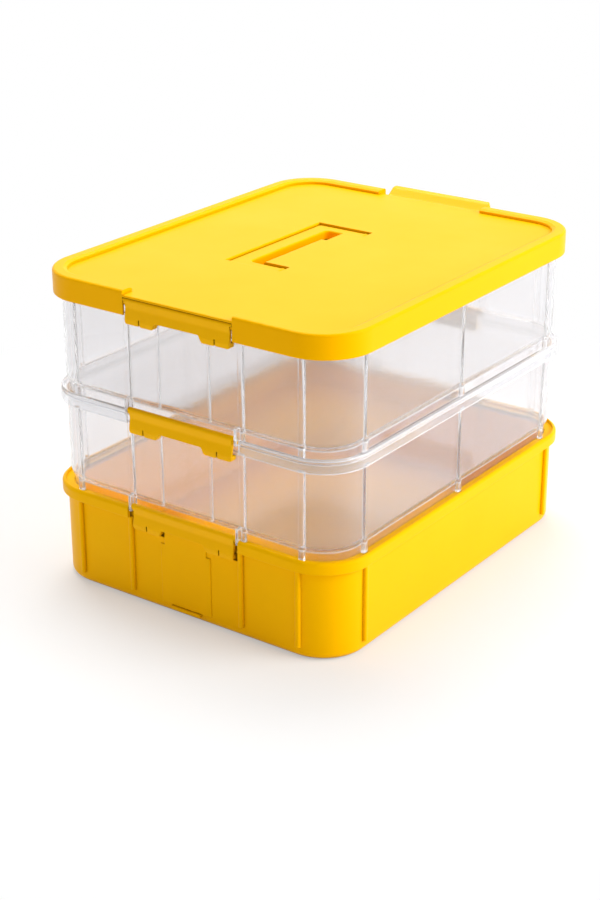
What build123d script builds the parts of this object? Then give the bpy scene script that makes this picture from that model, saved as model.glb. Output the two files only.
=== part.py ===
"""Three-tier craft storage box: base tray, two clear trays, lid, carrying handle and six latches.

Millimetres, +Z up, origin at the bottom centre. The latches are on the front (-Y) and rear (+Y) sides.
An inset is the distance inwards from the outline of the lid.
"""
import os
from math import cos, radians, sin

from build123d import *

# Overall size
lid_width = 300.0
lid_depth = 370.0
corner_radius = 42.0
base_height = 86.5
lower_tier_height = 84.0
upper_tier_height = 91.5
lid_above_rim = 8.0

# Fits
seat_gap = 0.3
skirt_gap = 0.3
foot_gap = 0.5
side_gap = 0.3
pin_gap = 0.05
keeper_gap = 0.4
hook_gap = 1.4

# Trays
tray_wall_inset = 7.0
tray_wall = 2.0
rim_height = 12.0
rim_flange = 2.0
rim_skirt = 1.9
rim_rounding = 1.6
rim_edge = 0.6
ledge_below_rim = 2.5
foot_wall = 1.8
foot_drop = 4.0
floor_above_rim = 3.0
tray_floor = 2.4
tray_edge_rounding = 7.0
tray_rib_from_side = 38.0
tray_rib_from_end = 46.0
tray_rib_width = 5.6
tray_rib_depth = 3.6
tray_rib_rounding = 1.5
tray_rib_proud = 1.8
thin_rib_x = 25.0
thin_rib_width = 2.4
thin_rib_rounding = 0.8

# Base tray
base_rim_inset = -1.2
base_wall_inset = 3.6
base_wall = 2.4
base_floor = 2.4
base_rim_height = 10.0
base_rim_flange = 2.4
base_rim_skirt = 3.0
base_rim_rounding = 2.8
base_edge_rounding = 6.0
base_rib_from_side = 39.0
base_rib_from_end = 42.0
base_rib_width = 4.6
base_rib_depth = 5.0
base_rib_rounding = 1.8
base_rib_proud = 3.0
base_rib_low = 10.0
panel_half_width = 25.5
panel_low = 8.5
panel_top = 61.0
panel_proud = 1.0
panel_rounding = 0.9
lip_half_length = 15.0
lip_low = 5.5
lip_height = 2.6
lip_proud = 2.8

# Latch, in its own section: u outwards from the hinge pin, v up from it
latch_half_width = 51.0
lip_overhang = 2.0
lip_drop = 2.0
lip_step = 0.8
lip_rounding = 2.4
pin_radius = 1.5
pin_to_wall = 4.8
pin_below_rim = 1.4
latch_nose_u = 3.0
latch_top_v = 3.8
latch_bottom_v = -17.6
tab_bottom_v = -16.9
latch_waist_u = 1.5
latch_waist_v = -4.5
latch_toe_v = -13.0
latch_toe_step = 0.4
latch_plate = 2.1
knuckle = 2.2
hook_thickness = 4.4
waist_rounding = 7.0
toe_rounding = 6.0
inner_waist_rounding = 4.0
latch_rounding = 1.2
latch_edge = 0.4
middle_edge_v = -11.5
middle_half_width = 21.5
middle_slope = 3.0
middle_rounding = 1.6
tab_rounding = 2.0
slit_x = 36.3
slit_width = 1.3
slit_top_v = -11.6
rear_corner = 4.0
rear_lid_latch_swing = 116.0

# What carries and catches a latch
ear_width = 2.4
ear_proud = 2.0
ear_below_pin = 2.7
keeper_height = 2.4
keeper_proud = 2.6
keeper_past_middle = 2.5
keeper_past_end = 3.0
catch_gap = 0.8
catch_past_end = 1.4
catch_back = 2.0
catch_narrow_below_rim = 6.0

# Lid
lid_skirt_height = 20.2
lid_wall = 1.8
border_width = 12.0
border_top = 2.2
border_slope_width = 1.3
border_slope_height = 2.9
panel_recess = 3.5
panel_thickness = 2.4
lid_rounding = 2.4
skirt_edge = 0.8
seat_width = 0.8
seat_rib = 2.4
visor_rounding = 1.0
notch_end_wall = 2.5

# Handle and its pocket in the lid
handle_left = -43.1
handle_half_length = 65.4
bar_width = 14.6
arm_width = 10.8
handle_thickness = 8.0
handle_below_panel = 1.4
handle_pivot_x = 5.0
handle_corner = 3.0
handle_inner_corner = 4.0
handle_edge = 1.6
handle_low_edge = 1.0
handle_pin_radius = 2.0
handle_pin_length = 4.5
pocket_gap = 1.6
pocket_under_handle = 1.2
pocket_wall = 2.2
pocket_rounding = 1.2
island_left = -15.8
island_rounding = 2.6
scoop_width = 6.8
scoop_low = 25.8
bearing_half_width = 5.5
bearing_wall = 3.0

# Worked out from the sizes above
half_width = lid_width / 2
half_depth = lid_depth / 2
base_rim_z = base_height
lower_rim_z = base_rim_z + lower_tier_height
upper_rim_z = lower_rim_z + upper_tier_height
lid_top_z = upper_rim_z + lid_above_rim
tray_rim_inset = lid_wall + skirt_gap
mouth_inset = tray_wall_inset + tray_wall
foot_inset = mouth_inset + foot_gap
seat_rib_inset = mouth_inset - seat_width
wall_y = half_depth - tray_wall_inset
pin_y = wall_y + pin_to_wall
lip_half_width = latch_half_width + lip_overhang
notch_half_width = lip_half_width + side_gap + ear_width + side_gap
hook_tip_u = hook_gap - pin_to_wall
hook_top_v = tab_bottom_v + hook_thickness
lid_notch_half_width = lip_half_width + side_gap
panel_z = lid_top_z - panel_recess
panel_under_z = panel_z - panel_thickness
skirt_low_z = lid_top_z - lid_skirt_height
visor_under_z = upper_rim_z - pin_below_rim + latch_top_v + seat_gap
base_ledge_z = base_rim_z - ledge_below_rim
handle_top_z = panel_z - handle_below_panel
handle_low_z = handle_top_z - handle_thickness
pivot_z = handle_low_z + handle_thickness / 2
pocket_floor_z = handle_low_z - pocket_under_handle
pocket_left = handle_left - pocket_gap
pocket_right = handle_pivot_x + handle_thickness / 2 + pocket_gap
pocket_half_length = handle_half_length + pocket_gap
island_half_length = handle_half_length - arm_width - pocket_gap
overlap = 0.5


def slab(inset, low, high, mode=Mode.ADD):
    """A rounded rectangle, inset from the lid's outline, between two heights."""
    with BuildSketch(Plane.XY.offset(low)) as outline:
        RectangleRounded(lid_width - 2 * inset, lid_depth - 2 * inset, corner_radius - inset)
    extrude(outline.sketch, amount=high - low, mode=mode)


def ring(outer, inner, low, high, mode=Mode.ADD):
    """The band between two insets."""
    with BuildSketch(Plane.XY.offset(low)) as band:
        RectangleRounded(lid_width - 2 * outer, lid_depth - 2 * outer, corner_radius - outer)
        RectangleRounded(
            lid_width - 2 * inner, lid_depth - 2 * inner, corner_radius - inner, mode=Mode.SUBTRACT
        )
    extrude(band.sketch, amount=high - low, mode=mode)


def block(x_span, y_span, z_span, mode=Mode.ADD, rounding=0.0):
    """A box from its low and high values along each axis, in either order, with rounded upright edges."""
    x_low, x_high = sorted(x_span)
    y_low, y_high = sorted(y_span)
    z_low, z_high = sorted(z_span)
    with BuildSketch(Plane.XY.offset(z_low)) as foot:
        with Locations(((x_low + x_high) / 2, (y_low + y_high) / 2)):
            Rectangle(x_high - x_low, y_high - y_low)
        if rounding:
            fillet(foot.vertices(), rounding)
    extrude(foot.sketch, amount=z_high - z_low, mode=mode)


def wall_ribs(x_places, y_places, faces, width, rounding, low, high):
    """Upright ribs on the four walls; faces are the insets of a rib's outer and inner face."""
    outer, inner = faces
    for side in (-1, 1):
        for place in x_places:
            x_span = (place - width / 2, place + width / 2)
            y_span = (side * (half_depth - outer), side * (half_depth - inner))
            block(x_span, y_span, (low, high), rounding=rounding)
        for place in y_places:
            x_span = (side * (half_width - outer), side * (half_width - inner))
            y_span = (place - width / 2, place + width / 2)
            block(x_span, y_span, (low, high), rounding=rounding)


def rim_notches(wall_inset, rim_inset, low, high):
    """Gaps in a rim at the front and rear, where the latches hang."""
    for side in (-1, 1):
        y_span = (side * (half_depth - wall_inset), side * (half_depth - rim_inset + overlap))
        block((-notch_half_width, notch_half_width), y_span, (low, high), Mode.SUBTRACT)


def keepers(rim_z):
    """Small bars on the wall, above the hooks of a closed latch."""
    low = rim_z - pin_below_rim + hook_top_v + keeper_gap
    near = middle_half_width + keeper_past_middle
    far = latch_half_width + keeper_past_end
    for side in (-1, 1):
        y_span = (side * (wall_y - overlap), side * (wall_y + keeper_proud))
        for end in (-1, 1):
            block((end * near, end * far), y_span, (low, low + keeper_height))


def ears(pin_z, seat_z, top_z):
    """Ears that hold the stubs of a latch, standing clear of the wall below seat_z."""
    outer_y = pin_y + ear_proud
    for side in (-1, 1):
        for end in (-1, 1):
            x_span = (end * lid_notch_half_width, end * (lid_notch_half_width + ear_width))
            block(x_span, (side * (wall_y + side_gap), side * outer_y), (pin_z - ear_below_pin, top_z))
            block(x_span, (side * (wall_y - overlap), side * outer_y), (seat_z, top_z))
        with BuildSketch(Plane.YZ.offset(-notch_half_width)) as hole:
            with Locations((side * pin_y, pin_z)):
                Circle(pin_radius + pin_gap)
        extrude(hole.sketch, amount=2 * notch_half_width, mode=Mode.SUBTRACT)


def make_tray(below_rim_z, rim_z, ledge_drop):
    """A clear tray on the ledge of the rim at below_rim_z, with its own rim and ledge at rim_z."""
    seat_z = below_rim_z - ledge_below_rim + seat_gap
    bottom_z = below_rim_z + floor_above_rim
    rim_low = rim_z - rim_height
    ledge_z = rim_z - ledge_drop
    with BuildPart() as tray:
        slab(tray_rim_inset, rim_low, rim_z)
        fillet(tray.faces().sort_by(Axis.Z)[-1].outer_wire().edges(), rim_rounding)
        fillet(tray.faces().sort_by(Axis.Z)[0].outer_wire().edges(), rim_edge)
        slab(tray_wall_inset, bottom_z, rim_low)
        fillet(tray.faces().sort_by(Axis.Z)[0].outer_wire().edges(), tray_edge_rounding)
        ring(tray_rim_inset + rim_skirt, tray_wall_inset, rim_low, ledge_z - rim_flange, Mode.SUBTRACT)
        slab(mouth_inset, bottom_z + tray_floor, rim_z, Mode.SUBTRACT)
        floor = tray.faces().filter_by(Axis.Z).sort_by(Axis.Z)[1]
        fillet(floor.outer_wire().edges(), tray_edge_rounding - tray_wall)
        if ledge_drop:
            slab(tray_rim_inset + rim_skirt, ledge_z, rim_z, Mode.SUBTRACT)
        ring(foot_inset, foot_inset + foot_wall, seat_z - foot_drop, bottom_z + foot_wall)
        rim_notches(tray_wall_inset, tray_rim_inset, rim_low, rim_z)
        rib_x = half_width - tray_rib_from_side
        rib_y = half_depth - tray_rib_from_end
        rib_outer = tray_wall_inset - tray_rib_proud
        wall_ribs(
            (-rib_x, -notch_half_width, notch_half_width, rib_x),
            (-rib_y, 0.0, rib_y),
            (rib_outer, rib_outer + tray_rib_depth),
            tray_rib_width,
            tray_rib_rounding,
            seat_z,
            rim_low,
        )
        wall_ribs(
            (-thin_rib_x, thin_rib_x),
            (),
            (rib_outer + thin_rib_rounding, rib_outer + tray_rib_depth),
            thin_rib_width,
            thin_rib_rounding,
            bottom_z + tray_edge_rounding / 2,
            rim_low,
        )
        keepers(rim_z)
        ears(below_rim_z - pin_below_rim, seat_z, bottom_z + tray_edge_rounding)
    return tray.part


def make_base_tray():
    rim_low = base_rim_z - base_rim_height
    catch_low = base_rim_z - pin_below_rim + latch_bottom_v - catch_gap
    front_middle_low = base_rim_z - pin_below_rim + middle_edge_v - catch_gap
    catch_half_width = latch_half_width + catch_past_end
    narrow_top = base_rim_z - catch_narrow_below_rim
    with BuildPart() as base_tray:
        slab(base_rim_inset, rim_low, base_rim_z)
        fillet(base_tray.faces().sort_by(Axis.Z)[-1].outer_wire().edges(), base_rim_rounding)
        fillet(base_tray.faces().sort_by(Axis.Z)[0].outer_wire().edges(), rim_edge)
        slab(base_wall_inset, 0, rim_low)
        fillet(base_tray.faces().sort_by(Axis.Z)[0].outer_wire().edges(), base_edge_rounding)
        under_ledge = base_ledge_z - base_rim_flange
        ring(base_rim_inset + base_rim_skirt, base_wall_inset, rim_low, under_ledge, Mode.SUBTRACT)
        slab(base_wall_inset + base_wall, base_floor, under_ledge, Mode.SUBTRACT)
        slab(mouth_inset, under_ledge, base_ledge_z, Mode.SUBTRACT)
        slab(base_rim_inset + base_rim_skirt, base_ledge_z, base_rim_z, Mode.SUBTRACT)
        for side, middle_low in ((-1, front_middle_low), (1, catch_low)):
            back_y = side * (wall_y - catch_back)
            outer_y = side * (half_depth - base_wall_inset - overlap)
            x_span = (-notch_half_width - catch_back, notch_half_width + catch_back)
            block(x_span, (back_y, outer_y), (catch_low - catch_back, base_ledge_z))
            cut_y = (side * wall_y, side * (half_depth - base_rim_inset + overlap))
            x_span = (-notch_half_width, notch_half_width)
            block(x_span, cut_y, (narrow_top, base_rim_z), Mode.SUBTRACT)
            x_span = (-catch_half_width, catch_half_width)
            block(x_span, cut_y, (middle_low, narrow_top), Mode.SUBTRACT)
            for end in (-1, 1):
                x_span = (end * middle_half_width, end * catch_half_width)
                block(x_span, cut_y, (catch_low, narrow_top), Mode.SUBTRACT)
        rim_notches(base_wall_inset, base_rim_inset, rim_low, narrow_top)
        rib_x = half_width - base_rib_from_side
        rib_y = half_depth - base_rib_from_end
        rib_outer = base_wall_inset - base_rib_proud
        wall_ribs(
            (-rib_x, -notch_half_width, notch_half_width, rib_x),
            (-rib_y, rib_y),
            (rib_outer, rib_outer + base_rib_depth),
            base_rib_width,
            base_rib_rounding,
            base_rib_low,
            rim_low,
        )
        keepers(base_rim_z)
        face_y = half_depth - base_wall_inset
        for side, middle_low in ((-1, front_middle_low), (1, catch_low)):
            y_span = (side * (face_y - panel_rounding), side * (face_y + panel_proud))
            x_span = (-panel_half_width, panel_half_width)
            block(x_span, y_span, (panel_low, panel_top), rounding=panel_rounding)
            x_span = (-middle_half_width, middle_half_width)
            block(x_span, y_span, (panel_top - overlap, middle_low), rounding=panel_rounding)
            x_span = (-lip_half_length, lip_half_length)
            y_span = (side * (face_y - panel_rounding), side * (face_y + lip_proud))
            block(x_span, y_span, (lip_low, lip_low + lip_height), rounding=panel_rounding)
    return base_tray.part


def handle_pocket():
    """The pocket in the lid's panel: a tub under the panel, its hollow, its island and its bearings."""
    tub_low = pocket_floor_z - pocket_wall
    tub_x = (pocket_left - pocket_wall, pocket_right + pocket_wall)
    tub_y = pocket_half_length + pocket_wall
    block(tub_x, (-tub_y, tub_y), (tub_low, panel_z))
    bearing_x = (handle_pivot_x - bearing_half_width, handle_pivot_x + bearing_half_width)
    bearing_y = pocket_half_length + handle_pin_length + bearing_wall
    block(bearing_x, (-bearing_y, bearing_y), (tub_low, panel_z))
    island_x = (island_left, pocket_right)
    with BuildSketch(Plane.XY.offset(pocket_floor_z)) as hollow:
        with Locations(((pocket_left + pocket_right) / 2, 0)):
            Rectangle(pocket_right - pocket_left, 2 * pocket_half_length)
        with Locations((sum(island_x) / 2, 0)):
            Rectangle(island_x[1] - island_x[0], 2 * island_half_length, mode=Mode.SUBTRACT)
        with Locations((island_left + scoop_width / 2, (scoop_low + island_half_length) / 2)):
            Rectangle(scoop_width, island_half_length - scoop_low)
    extrude(hollow.sketch, amount=panel_z - pocket_floor_z, mode=Mode.SUBTRACT)
    hollow_x = (island_left + scoop_width + pocket_wall, pocket_right - pocket_wall)
    hollow_y = island_half_length - pocket_wall
    block(hollow_x, (-hollow_y, hollow_y), (tub_low, panel_under_z), Mode.SUBTRACT)
    reach = handle_half_length + handle_pin_length + side_gap
    with BuildSketch(Plane.XZ.offset(-reach)) as bearing_holes:
        with Locations((handle_pivot_x, pivot_z)):
            Circle(handle_pin_radius + pin_gap)
    extrude(bearing_holes.sketch, amount=2 * reach, mode=Mode.SUBTRACT)


def lid_notches():
    """The gaps in the lid's border and skirt for the latches, the front one under a thin visor."""
    x_span = (-lid_notch_half_width, lid_notch_half_width)
    for side, top_z in ((-1, visor_under_z), (1, lid_top_z)):
        y_span = (side * (half_depth - border_width - overlap), side * (half_depth + overlap))
        block(x_span, y_span, (panel_z, lid_top_z), Mode.SUBTRACT)
        y_span = (side * wall_y, side * (half_depth + overlap))
        block(x_span, y_span, (skirt_low_z, top_z), Mode.SUBTRACT)


def make_lid():
    seat_z = upper_rim_z + seat_gap
    with BuildPart() as lid:
        slab(0, skirt_low_z, lid_top_z)
        fillet(lid.faces().sort_by(Axis.Z)[-1].outer_wire().edges(), lid_rounding)
        fillet(lid.faces().sort_by(Axis.Z)[0].outer_wire().edges(), skirt_edge)
        slab(border_width, panel_z, lid_top_z, Mode.SUBTRACT)
        chamfer(
            lid.faces().sort_by(Axis.Z)[-1].inner_wires()[0].edges(),
            length=border_slope_height,
            length2=border_slope_width,
            reference=lid.faces().sort_by(Axis.Z)[-1],
        )
        slab(lid_wall, skirt_low_z, seat_z, Mode.SUBTRACT)
        slab(seat_rib_inset + seat_rib, seat_z, panel_under_z, Mode.SUBTRACT)
        with BuildSketch(Plane.XY.offset(seat_z)):
            for inset, mode in ((lid_wall, Mode.ADD), (seat_rib_inset, Mode.SUBTRACT)):
                RectangleRounded(
                    lid_width - 2 * inset, lid_depth - 2 * inset, corner_radius - inset, mode=mode
                )
            Rectangle(2 * (notch_half_width + notch_end_wall), lid_depth, mode=Mode.SUBTRACT)
        extrude(amount=lid_top_z - border_top - seat_z, mode=Mode.SUBTRACT)
        lid_notches()
        front_edges = lid.edges().filter_by(Axis.X).group_by(Axis.Y)[0]
        fillet(front_edges.filter_by_position(Axis.X, -overlap, overlap).sort_by(Axis.Z)[-1], visor_rounding)
        handle_pocket()
        for edge_x, rounding in ((pocket_left, pocket_rounding), (island_left, island_rounding)):
            at_x = (edge_x - pin_gap, edge_x + pin_gap)
            fillet(
                lid.edges().filter_by(Axis.Y).filter_by_position(Axis.X, *at_x).sort_by(Axis.Z)[-1], rounding
            )
        pin_z = upper_rim_z - pin_below_rim
        ears(pin_z, seat_z, visor_under_z)
    return lid.part


def make_handle():
    bar_inner = handle_left + bar_width
    with BuildPart() as carry_handle:
        with BuildSketch(Plane.XY.offset(handle_low_z)) as outline:
            with Locations(((handle_left + handle_pivot_x) / 2, 0)):
                Rectangle(handle_pivot_x - handle_left, 2 * handle_half_length)
            with Locations(((bar_inner + handle_pivot_x) / 2, 0)):
                Rectangle(
                    handle_pivot_x - bar_inner, 2 * (handle_half_length - arm_width), mode=Mode.SUBTRACT
                )
            fillet(outline.vertices().group_by(Axis.X)[0], handle_corner)
            fillet(outline.vertices().group_by(Axis.X)[2], handle_inner_corner)
        extrude(amount=handle_thickness)
        bottom = carry_handle.faces().sort_by(Axis.Z)[0].edges().filter_by(Axis.Y).group_by(Axis.X)
        fillet(bottom[0] + bottom[1], handle_low_edge)
        top = carry_handle.faces().sort_by(Axis.Z)[-1].edges().group_by(Axis.X)[:-1]
        fillet([edge for group in top for edge in group], handle_edge)
        for end in (-1, 1):
            with BuildSketch(Plane.XZ.offset(-end * handle_half_length)):
                with Locations((handle_pivot_x, pivot_z)):
                    Circle(handle_thickness / 2)
            extrude(amount=end * arm_width)
            with BuildSketch(Plane.XZ.offset(-end * (handle_half_length - overlap))):
                with Locations((handle_pivot_x, pivot_z)):
                    Circle(handle_pin_radius)
            extrude(amount=-end * (handle_pin_length + overlap))
    return carry_handle.part


def latch_section():
    """The closed section of a latch as (u, v) corners, each with its radius."""
    inner_nose_u = latch_nose_u - latch_plate
    inner_waist_u = latch_waist_u - latch_plate
    return (
        (latch_nose_u, latch_top_v, lip_rounding),
        (latch_waist_u, latch_waist_v, waist_rounding),
        (latch_nose_u, latch_toe_v, toe_rounding),
        (latch_nose_u - latch_toe_step, latch_bottom_v, latch_rounding),
        (hook_tip_u, latch_bottom_v, latch_rounding),
        (hook_tip_u, hook_top_v, latch_edge),
        (inner_nose_u, hook_top_v, latch_edge),
        (inner_waist_u, latch_waist_v, inner_waist_rounding),
        (inner_waist_u, -knuckle, latch_edge),
        (-knuckle, -knuckle, latch_rounding),
        (-knuckle, latch_top_v, latch_rounding),
    )


def latch_outline(side):
    """Half of a latch seen from outside as (x, v) corners, each with its radius."""
    lip_low_v = latch_top_v - lip_drop
    upper = (
        (lip_half_width, latch_top_v + overlap, latch_edge),
        (lip_half_width, lip_low_v, latch_edge),
        (latch_half_width, lip_low_v - lip_step, latch_edge),
    )
    if side > 0:
        return (*upper, (latch_half_width, latch_bottom_v, rear_corner))
    return (
        *upper,
        (latch_half_width, tab_bottom_v, tab_rounding),
        (slit_x + slit_width, tab_bottom_v, latch_edge),
        (slit_x + slit_width, slit_top_v, latch_edge),
        (slit_x, slit_top_v, latch_edge),
        (slit_x, latch_bottom_v, tab_rounding),
        (middle_half_width + middle_slope, latch_bottom_v, tab_rounding),
        (middle_half_width, middle_edge_v, middle_rounding),
    )


def make_latch(side, pin_z, swing=0.0):
    """A latch on the front (side -1) or rear (side 1), swung outwards by swing degrees."""
    outwards = (0, side * cos(radians(swing)), sin(radians(swing)))
    pin_point = (0, side * pin_y, pin_z)
    section_plane = Plane(pin_point, x_dir=outwards, z_dir=(side, 0, 0))
    outside_plane = Plane(pin_point, x_dir=(-side, 0, 0), z_dir=outwards)
    with BuildPart() as latch:
        corners = latch_section()
        with BuildSketch(section_plane):
            with BuildLine():
                FilletPolyline(*[c[:2] for c in corners], radius=[c[2] for c in corners], close=True)
            make_face()
        extrude(amount=lip_half_width, both=True)
        half = latch_outline(side)
        corners = [*half, *[(-x, v, radius) for x, v, radius in reversed(half)]]
        with BuildSketch(outside_plane):
            with BuildLine():
                FilletPolyline(*[c[:2] for c in corners], radius=[c[2] for c in corners], close=True)
            make_face()
        extrude(amount=abs(latch_bottom_v), both=True, mode=Mode.INTERSECT)
        with BuildSketch(section_plane):
            Circle(pin_radius)
        extrude(amount=lip_half_width + ear_width, both=True)
    return latch.part


def save(piece, name):
    piece.label = name
    export_step(piece, f"parts/{name}.step")


os.makedirs("parts", exist_ok=True)
save(make_base_tray(), "base_tray")
save(make_tray(base_rim_z, lower_rim_z, ledge_below_rim), "lower_tray")
save(make_tray(lower_rim_z, upper_rim_z, 0.0), "upper_tray")
save(make_lid(), "lid")
save(make_handle(), "carry_handle")
for tier, rim_z in (("lower", base_rim_z), ("upper", lower_rim_z), ("lid", upper_rim_z)):
    for place, side in (("front", -1), ("rear", 1)):
        swing = rear_lid_latch_swing if (tier, place) == ("lid", "rear") else 0.0
        save(make_latch(side, rim_z - pin_below_rim, swing), f"{tier}_latch_{place}")
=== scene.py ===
import math

import bmesh
import bpy
from mathutils import Matrix, Vector

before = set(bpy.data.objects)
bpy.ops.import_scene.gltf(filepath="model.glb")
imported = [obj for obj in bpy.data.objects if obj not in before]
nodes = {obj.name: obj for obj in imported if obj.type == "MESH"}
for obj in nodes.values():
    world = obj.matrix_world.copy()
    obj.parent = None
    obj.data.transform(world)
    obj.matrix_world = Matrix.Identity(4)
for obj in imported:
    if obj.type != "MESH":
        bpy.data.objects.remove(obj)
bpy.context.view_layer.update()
print("frame loaded:", len(nodes), "nodes")

mm = 0.001
white = "#FFFFFF"


def linearColour(hexCode):
    channels = [int(hexCode[i:i + 2], 16) / 255 for i in (1, 3, 5)]
    return [c / 12.92 if c <= 0.04045 else ((c + 0.055) / 1.055) ** 2.4 for c in channels] + [1.0]


def addNode(tree, kind, settings=None, links=None):
    # settings are attributes or sockets, links are sockets fed by (node, output)
    node = tree.nodes.new(kind)
    for key, value in (settings or {}).items():
        if hasattr(node, str(key)):
            setattr(node, key, value)
        else:
            node.inputs[key].default_value = value
    for key, (source, output) in (links or {}).items():
        tree.links.new(source.outputs[output], node.inputs[key])
    return node


def larger(tree, first, second):
    return addNode(tree, "ShaderNodeMath", {"operation": "MAXIMUM"}, {0: first, 1: second})


def scaleFrom(tree, value, span):
    # 0 where the value is at the span's first end, 1 at its second
    settings = {"From Min": span[0], "From Max": span[1]}
    return addNode(tree, "ShaderNodeMapRange", settings, {"Value": value})


def scaleTo(tree, value, span):
    # the span's first end where the value is 0, its second where it is 1
    settings = {"To Min": span[0], "To Max": span[1]}
    return addNode(tree, "ShaderNodeMapRange", settings, {"Value": value})


def blend(tree, factor, colours):
    # from the first colour to the second, each a hex code or a (node, output)
    mix = addNode(tree, "ShaderNodeMix", {"data_type": "RGBA"}, {"Factor": factor})
    colourSockets = mix.inputs[6], mix.inputs[7]
    for socket, colour in zip(colourSockets, colours):
        if isinstance(colour, str):
            socket.default_value = linearColour(colour)
        else:
            source, output = colour
            tree.links.new(source.outputs[output], socket)
    return mix, 2


def noise(tree, place, size, detail):
    settings = {"Scale": 1 / size, "Detail": detail}
    return addNode(tree, "ShaderNodeTexNoise", settings, {"Vector": place}), 0


def startMaterial(name):
    material = bpy.data.materials.new(name)
    material.use_nodes = True
    tree = material.node_tree
    tree.nodes.clear()
    return material, tree


# Camera: placed where the photograph was taken from, in metres and degrees, lens and sensor in mm
camera = {
    "azimuth": -35.80,
    "elevation": 23.20,
    "roll": -0.10,
    "distance": 1.56409,
    "aimHeight": 0.110,
    "aimRight": -0.01456,
    "aimUp": -0.02266,
    "lens": 72.42,
    "sensor": 36.0,
    "clip": (0.01, 50.0),
}


def makeCamera():
    azimuth, elevation, roll = (math.radians(camera[k]) for k in ("azimuth", "elevation", "roll"))
    forward = Vector((
        math.sin(azimuth) * math.cos(elevation),
        math.cos(azimuth) * math.cos(elevation),
        -math.sin(elevation),
    ))
    level = Vector((math.cos(azimuth), -math.sin(azimuth), 0))
    above = level.cross(forward)
    right = level * math.cos(roll) + above * math.sin(roll)
    up = above * math.cos(roll) - level * math.sin(roll)
    place = Vector((0, 0, camera["aimHeight"])) - forward * camera["distance"]
    place += right * camera["aimRight"] + up * camera["aimUp"]
    turn = Matrix((right, up, -forward)).transposed()
    data = bpy.data.cameras.new("camera")
    data.lens = camera["lens"]
    data.sensor_width = camera["sensor"]
    data.clip_start, data.clip_end = camera["clip"]
    eye = bpy.data.objects.new("camera", data)
    eye.matrix_world = Matrix.Translation(place) @ turn.to_4x4()
    bpy.context.scene.collection.objects.link(eye)
    bpy.context.scene.camera = eye


makeCamera()
print("camera placed")

# Studio, in metres and watts: white world and floor, one large soft key from the right and a little
# behind, a top light and a weak fill from the front left. The shadow on the floor fades out between
# shadowNear and shadowFar from the middle of the box, and is lifted by shadowLift within shadowNear.
studio = {
    "worldStrength": 0.37,
    "floorHex": "#F2F1F0",
    "floorSize": 8.0,
    "floorDrop": 0.2 * mm,
    "shadowNear": 0.26,
    "shadowFar": 0.60,
    "shadowLift": 0.38,
    "aimHeight": 0.13,
    "lamps": {
        "key": {"place": (1.8, 0.55, 1.05), "size": 1.5, "power": 45.0},
        "top": {"place": (-0.6, 0.48, 1.85), "size": 1.3, "power": 33.0},
        "fill": {"place": (-0.9, -1.7, 0.35), "size": 1.3, "power": 3.8},
    },
}


def whiteForEye(tree):
    # 1 for rays that should see a plain white studio: camera, glossy and transmission rays
    path = addNode(tree, "ShaderNodeLightPath")
    first = larger(tree, (path, "Is Camera Ray"), (path, "Is Glossy Ray"))
    return larger(tree, (first, 0), (path, "Is Transmission Ray"))


def makeWorld():
    world = bpy.data.worlds.new("studio")
    world.use_nodes = True
    tree = world.node_tree
    tree.nodes.clear()
    colour = linearColour(white)
    lit = addNode(tree, "ShaderNodeBackground", {"Color": colour, "Strength": studio["worldStrength"]})
    seen = addNode(tree, "ShaderNodeBackground", {"Color": colour, "Strength": 1.0})
    eye = whiteForEye(tree)
    mix = addNode(
        tree, "ShaderNodeMixShader", {},
        {0: (eye, 0), 1: (lit, "Background"), 2: (seen, "Background")},
    )
    addNode(tree, "ShaderNodeOutputWorld", {}, {"Surface": (mix, 0)})
    bpy.context.scene.world = world


def makeFloor():
    shape = bmesh.new()
    bmesh.ops.create_grid(shape, x_segments=1, y_segments=1, size=studio["floorSize"] / 2)
    bmesh.ops.translate(shape, verts=shape.verts, vec=(0, 0, -studio["floorDrop"]))
    mesh = bpy.data.meshes.new("floor")
    shape.to_mesh(mesh)
    shape.free()
    floor = bpy.data.objects.new("floor", mesh)
    bpy.context.scene.collection.objects.link(floor)
    material, tree = startMaterial("studioFloor")
    place = addNode(tree, "ShaderNodeTexCoord")
    away = addNode(tree, "ShaderNodeVectorMath", {"operation": "LENGTH"}, {0: (place, "Object")})
    fade = addNode(
        tree, "ShaderNodeMapRange",
        {
            "From Min": studio["shadowNear"], "From Max": studio["shadowFar"],
            "To Min": studio["shadowLift"], "interpolation_type": "SMOOTHSTEP",
        },
        {"Value": (away, "Value")},
    )
    eye = whiteForEye(tree)
    share = addNode(
        tree, "ShaderNodeMath", {"operation": "MULTIPLY"}, {0: (eye, 0), 1: (fade, "Result")}
    )
    matt = addNode(tree, "ShaderNodeBsdfDiffuse", {"Color": linearColour(studio["floorHex"])})
    plain = addNode(tree, "ShaderNodeEmission", {"Color": linearColour(white), "Strength": 1.0})
    mix = addNode(
        tree, "ShaderNodeMixShader", {}, {0: (share, 0), 1: (matt, "BSDF"), 2: (plain, "Emission")}
    )
    addNode(tree, "ShaderNodeOutputMaterial", {}, {"Surface": (mix, 0)})
    mesh.materials.append(material)


def makeLamps():
    for name, lamp in studio["lamps"].items():
        data = bpy.data.lights.new(name, "AREA")
        data.size = lamp["size"]
        data.energy = lamp["power"]
        light = bpy.data.objects.new(name, data)
        light.location = lamp["place"]
        aim = Vector((0, 0, studio["aimHeight"])) - light.location
        light.rotation_euler = aim.to_track_quat("-Z", "Y").to_euler()
        bpy.context.scene.collection.objects.link(light)


makeWorld()
makeFloor()
makeLamps()
print("studio lit")

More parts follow.
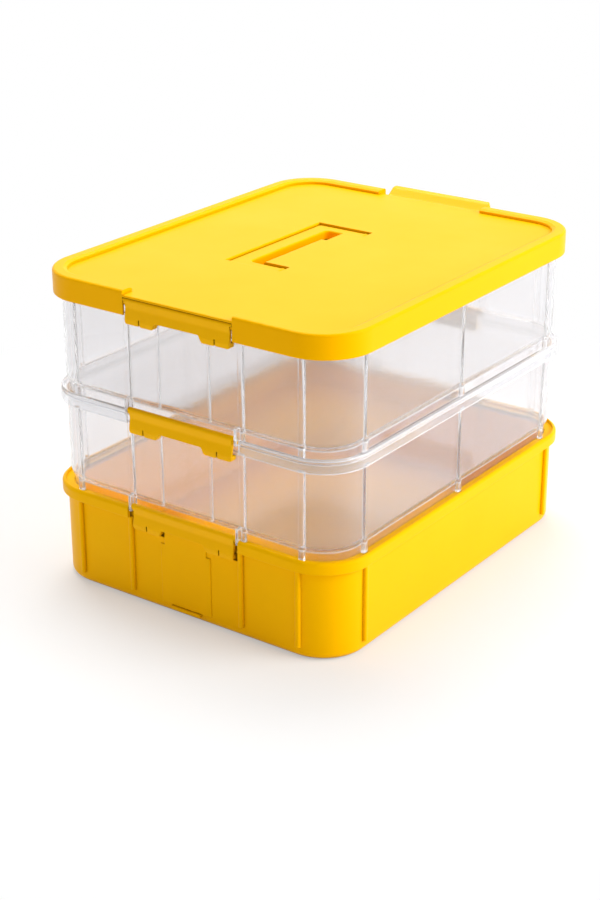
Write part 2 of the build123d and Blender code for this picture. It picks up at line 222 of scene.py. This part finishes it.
yellowPlastic = {
    "edgeHex": "#FFCE1E",
    "edgeRadius": 0.8 * mm,
    "edgeShare": 0.5,
    "edgeBend": (0.995, 0.80),
    "glintHex": "#FFC61A",  # what the plastic mirrors is tinted by its colour, as in the photograph
    "gapShadeHex": "#A88600",  # painted shade: thin gaps and inner corners are darkened to a brownish yellow, not left orange
    "gapShadeReach": 5 * mm,
    "gapShadeOpenness": (0.10, 0.75),
    "gapShadeSamples": 8,
    "ior": 1.49,
    "grainSize": 1.6 * mm,  # the real spark-eroded grain is 0.1 mm, drawn coarser so that it shows
    "grainDepth": 0.05 * mm,
    "grainDetail": 2.0,
    "cloudSize": 60 * mm,
    "cloudDetail": 3.0,
    "finishes": {
        "Satin": {
            "hexes": ("#FFC000", "#FCB900"), "roughness": (0.26, 0.38), "specular": 0.07, "grain": 0.08,
        },
        # painted shade: a deeper yellow for the lid and handle stands in for the darker shade on the
        # lid's skirt
        "SatinPaintedShade": {
            "hexes": ("#FFBC00", "#FCB500"), "roughness": (0.26, 0.38), "specular": 0.07, "grain": 0.08,
        },
        "Polished": {
            "hexes": ("#FFC000", "#FCB900"), "roughness": (0.18, 0.28), "specular": 0.16, "grain": 0.03,
        },
    },
}
clearPlastic = {
    "hexes": ("#FAFAFC", "#F2F2F6"),  # on flat walls, and on edges
    "clearness": (0.94, 0.50),  # likewise: the rest is a milky haze, which edges show most
    "edgeRadius": 1.8 * mm,
    "edgeBend": (0.9995, 0.95),
    "ior": 1.5,
    "roughness": (0.03, 0.09),
    "cloudSize": 45 * mm,
    "cloudDetail": 4.0,
    "flowSize": 7 * mm,
    "flowDepth": 0.15 * mm,
    "flowDetail": 1.0,
    "flowStretch": 0.12,  # the plastic flowed up the walls, so its faint waves run upright
    "flowBump": 0.25,
    "shadowHex": "#F6F6F6",
    "bounces": 4.5,  # light on a longer path than this is caught between the faces of a wall
}
bevelSamples = 6


def roundedEdges(tree, look):
    # the moulded rounding of sharp edges, and a mask that is 1 on them
    rounded = addNode(tree, "ShaderNodeBevel", {"Radius": look["edgeRadius"]})
    rounded.samples = bevelSamples
    flat = addNode(tree, "ShaderNodeNewGeometry")
    along = addNode(
        tree, "ShaderNodeVectorMath", {"operation": "DOT_PRODUCT"},
        {0: (rounded, 0), 1: (flat, "Normal")},
    )
    edge = scaleFrom(tree, (along, "Value"), look["edgeBend"])
    return (rounded, 0), (edge, "Result")


def mouldedPolypropylene(finish):
    # opaque polypropylene, injection moulded: satin where the mould is spark-eroded, with a fine grain,
    # glossier on the latches, with paler edges on all; painted shade: a deeper yellow on the lid and
    # handle, and darkened gaps
    material, tree = startMaterial("polypropyleneYellow" + finish)
    look = yellowPlastic
    surface = look["finishes"][finish]
    place = addNode(tree, "ShaderNodeTexCoord"), "Object"
    cloud = noise(tree, place, look["cloudSize"], look["cloudDetail"])
    grain = noise(tree, place, look["grainSize"], look["grainDetail"])
    rounded, edge = roundedEdges(tree, look)
    body = blend(tree, cloud, surface["hexes"])
    rubbed = addNode(
        tree, "ShaderNodeMath", {"operation": "MULTIPLY", 1: look["edgeShare"]}, {0: edge}
    )
    edged = blend(tree, (rubbed, 0), (body, look["edgeHex"]))
    # painted shade: an ambient occlusion mask darkens thin gaps and inner corners towards the brownish
    # yellow
    gapShade = addNode(tree, "ShaderNodeAmbientOcclusion", {"Distance": look["gapShadeReach"]})
    gapShade.samples = look["gapShadeSamples"]
    gapShadeMask = scaleFrom(tree, (gapShade, "AO"), look["gapShadeOpenness"])
    colour = blend(tree, (gapShadeMask, "Result"), (look["gapShadeHex"], edged))
    gloss = scaleTo(tree, cloud, surface["roughness"])
    bump = addNode(
        tree, "ShaderNodeBump", {"Strength": surface["grain"], "Distance": look["grainDepth"]},
        {"Height": grain, "Normal": rounded},
    )
    shader = addNode(
        tree, "ShaderNodeBsdfPrincipled",
        {
            "IOR": look["ior"], "Specular IOR Level": surface["specular"],
            "Specular Tint": linearColour(look["glintHex"]),
        },
        {"Base Color": colour, "Roughness": (gloss, "Result"), "Normal": (bump, "Normal")},
    )
    addNode(tree, "ShaderNodeOutputMaterial", {}, {"Surface": (shader, "BSDF")})
    return material


def clearPolystyrene():
    # clear polystyrene, polished mould: see-through with a faint milky haze, and paler along its edges
    material, tree = startMaterial("polystyreneClear")
    look = clearPlastic
    place = addNode(tree, "ShaderNodeTexCoord"), "Object"
    cloud = noise(tree, place, look["cloudSize"], look["cloudDetail"])
    gloss = scaleTo(tree, cloud, look["roughness"])
    stretch = addNode(
        tree, "ShaderNodeMapping", {"Scale": (1.0, 1.0, look["flowStretch"])}, {"Vector": place}
    )
    flow = noise(tree, (stretch, "Vector"), look["flowSize"], look["flowDetail"])
    edge = roundedEdges(tree, look)[1]
    tint = blend(tree, edge, look["hexes"])
    wave = addNode(
        tree, "ShaderNodeBump", {"Strength": look["flowBump"], "Distance": look["flowDepth"]},
        {"Height": flow},
    )
    clearness = scaleTo(tree, edge, look["clearness"])
    shader = addNode(
        tree, "ShaderNodeBsdfPrincipled", {"IOR": look["ior"]},
        {
            "Base Color": tint,
            "Roughness": (gloss, "Result"),
            "Transmission Weight": (clearness, "Result"),
            "Normal": (wave, "Normal"),
        },
    )
    # lamp light passes straight through, so the insides stay bright, and so does light that has been
    # caught between the faces of a wall, so the ribs are pale lines and not dark ones
    path = addNode(tree, "ShaderNodeLightPath")
    caught = addNode(
        tree, "ShaderNodeMath", {"operation": "GREATER_THAN", 1: look["bounces"]},
        {0: (path, "Ray Depth")},
    )
    straight = larger(tree, (path, "Is Shadow Ray"), (caught, 0))
    passing = addNode(tree, "ShaderNodeBsdfTransparent", {"Color": linearColour(look["shadowHex"])})
    mix = addNode(
        tree, "ShaderNodeMixShader", {},
        {0: (straight, 0), 1: (shader, "BSDF"), 2: (passing, "BSDF")},
    )
    addNode(tree, "ShaderNodeOutputMaterial", {}, {"Surface": (mix, 0)})
    return material


satin = mouldedPolypropylene("Satin")
paintedShadeSatin = mouldedPolypropylene("SatinPaintedShade")
polished = mouldedPolypropylene("Polished")
clear = clearPolystyrene()
print("materials made")


def finishOf(name):
    if name in ("lower_tray", "upper_tray"):
        return clear
    # painted shade: the lid and handle take the deeper yellow
    if name in ("lid", "carry_handle"):
        return paintedShadeSatin
    return polished if "latch" in name else satin


for name, node in nodes.items():
    node.data.materials.clear()
    node.data.materials.append(finishOf(name))
print("nodes dressed")

bpy.context.scene.view_settings.view_transform = "Standard"
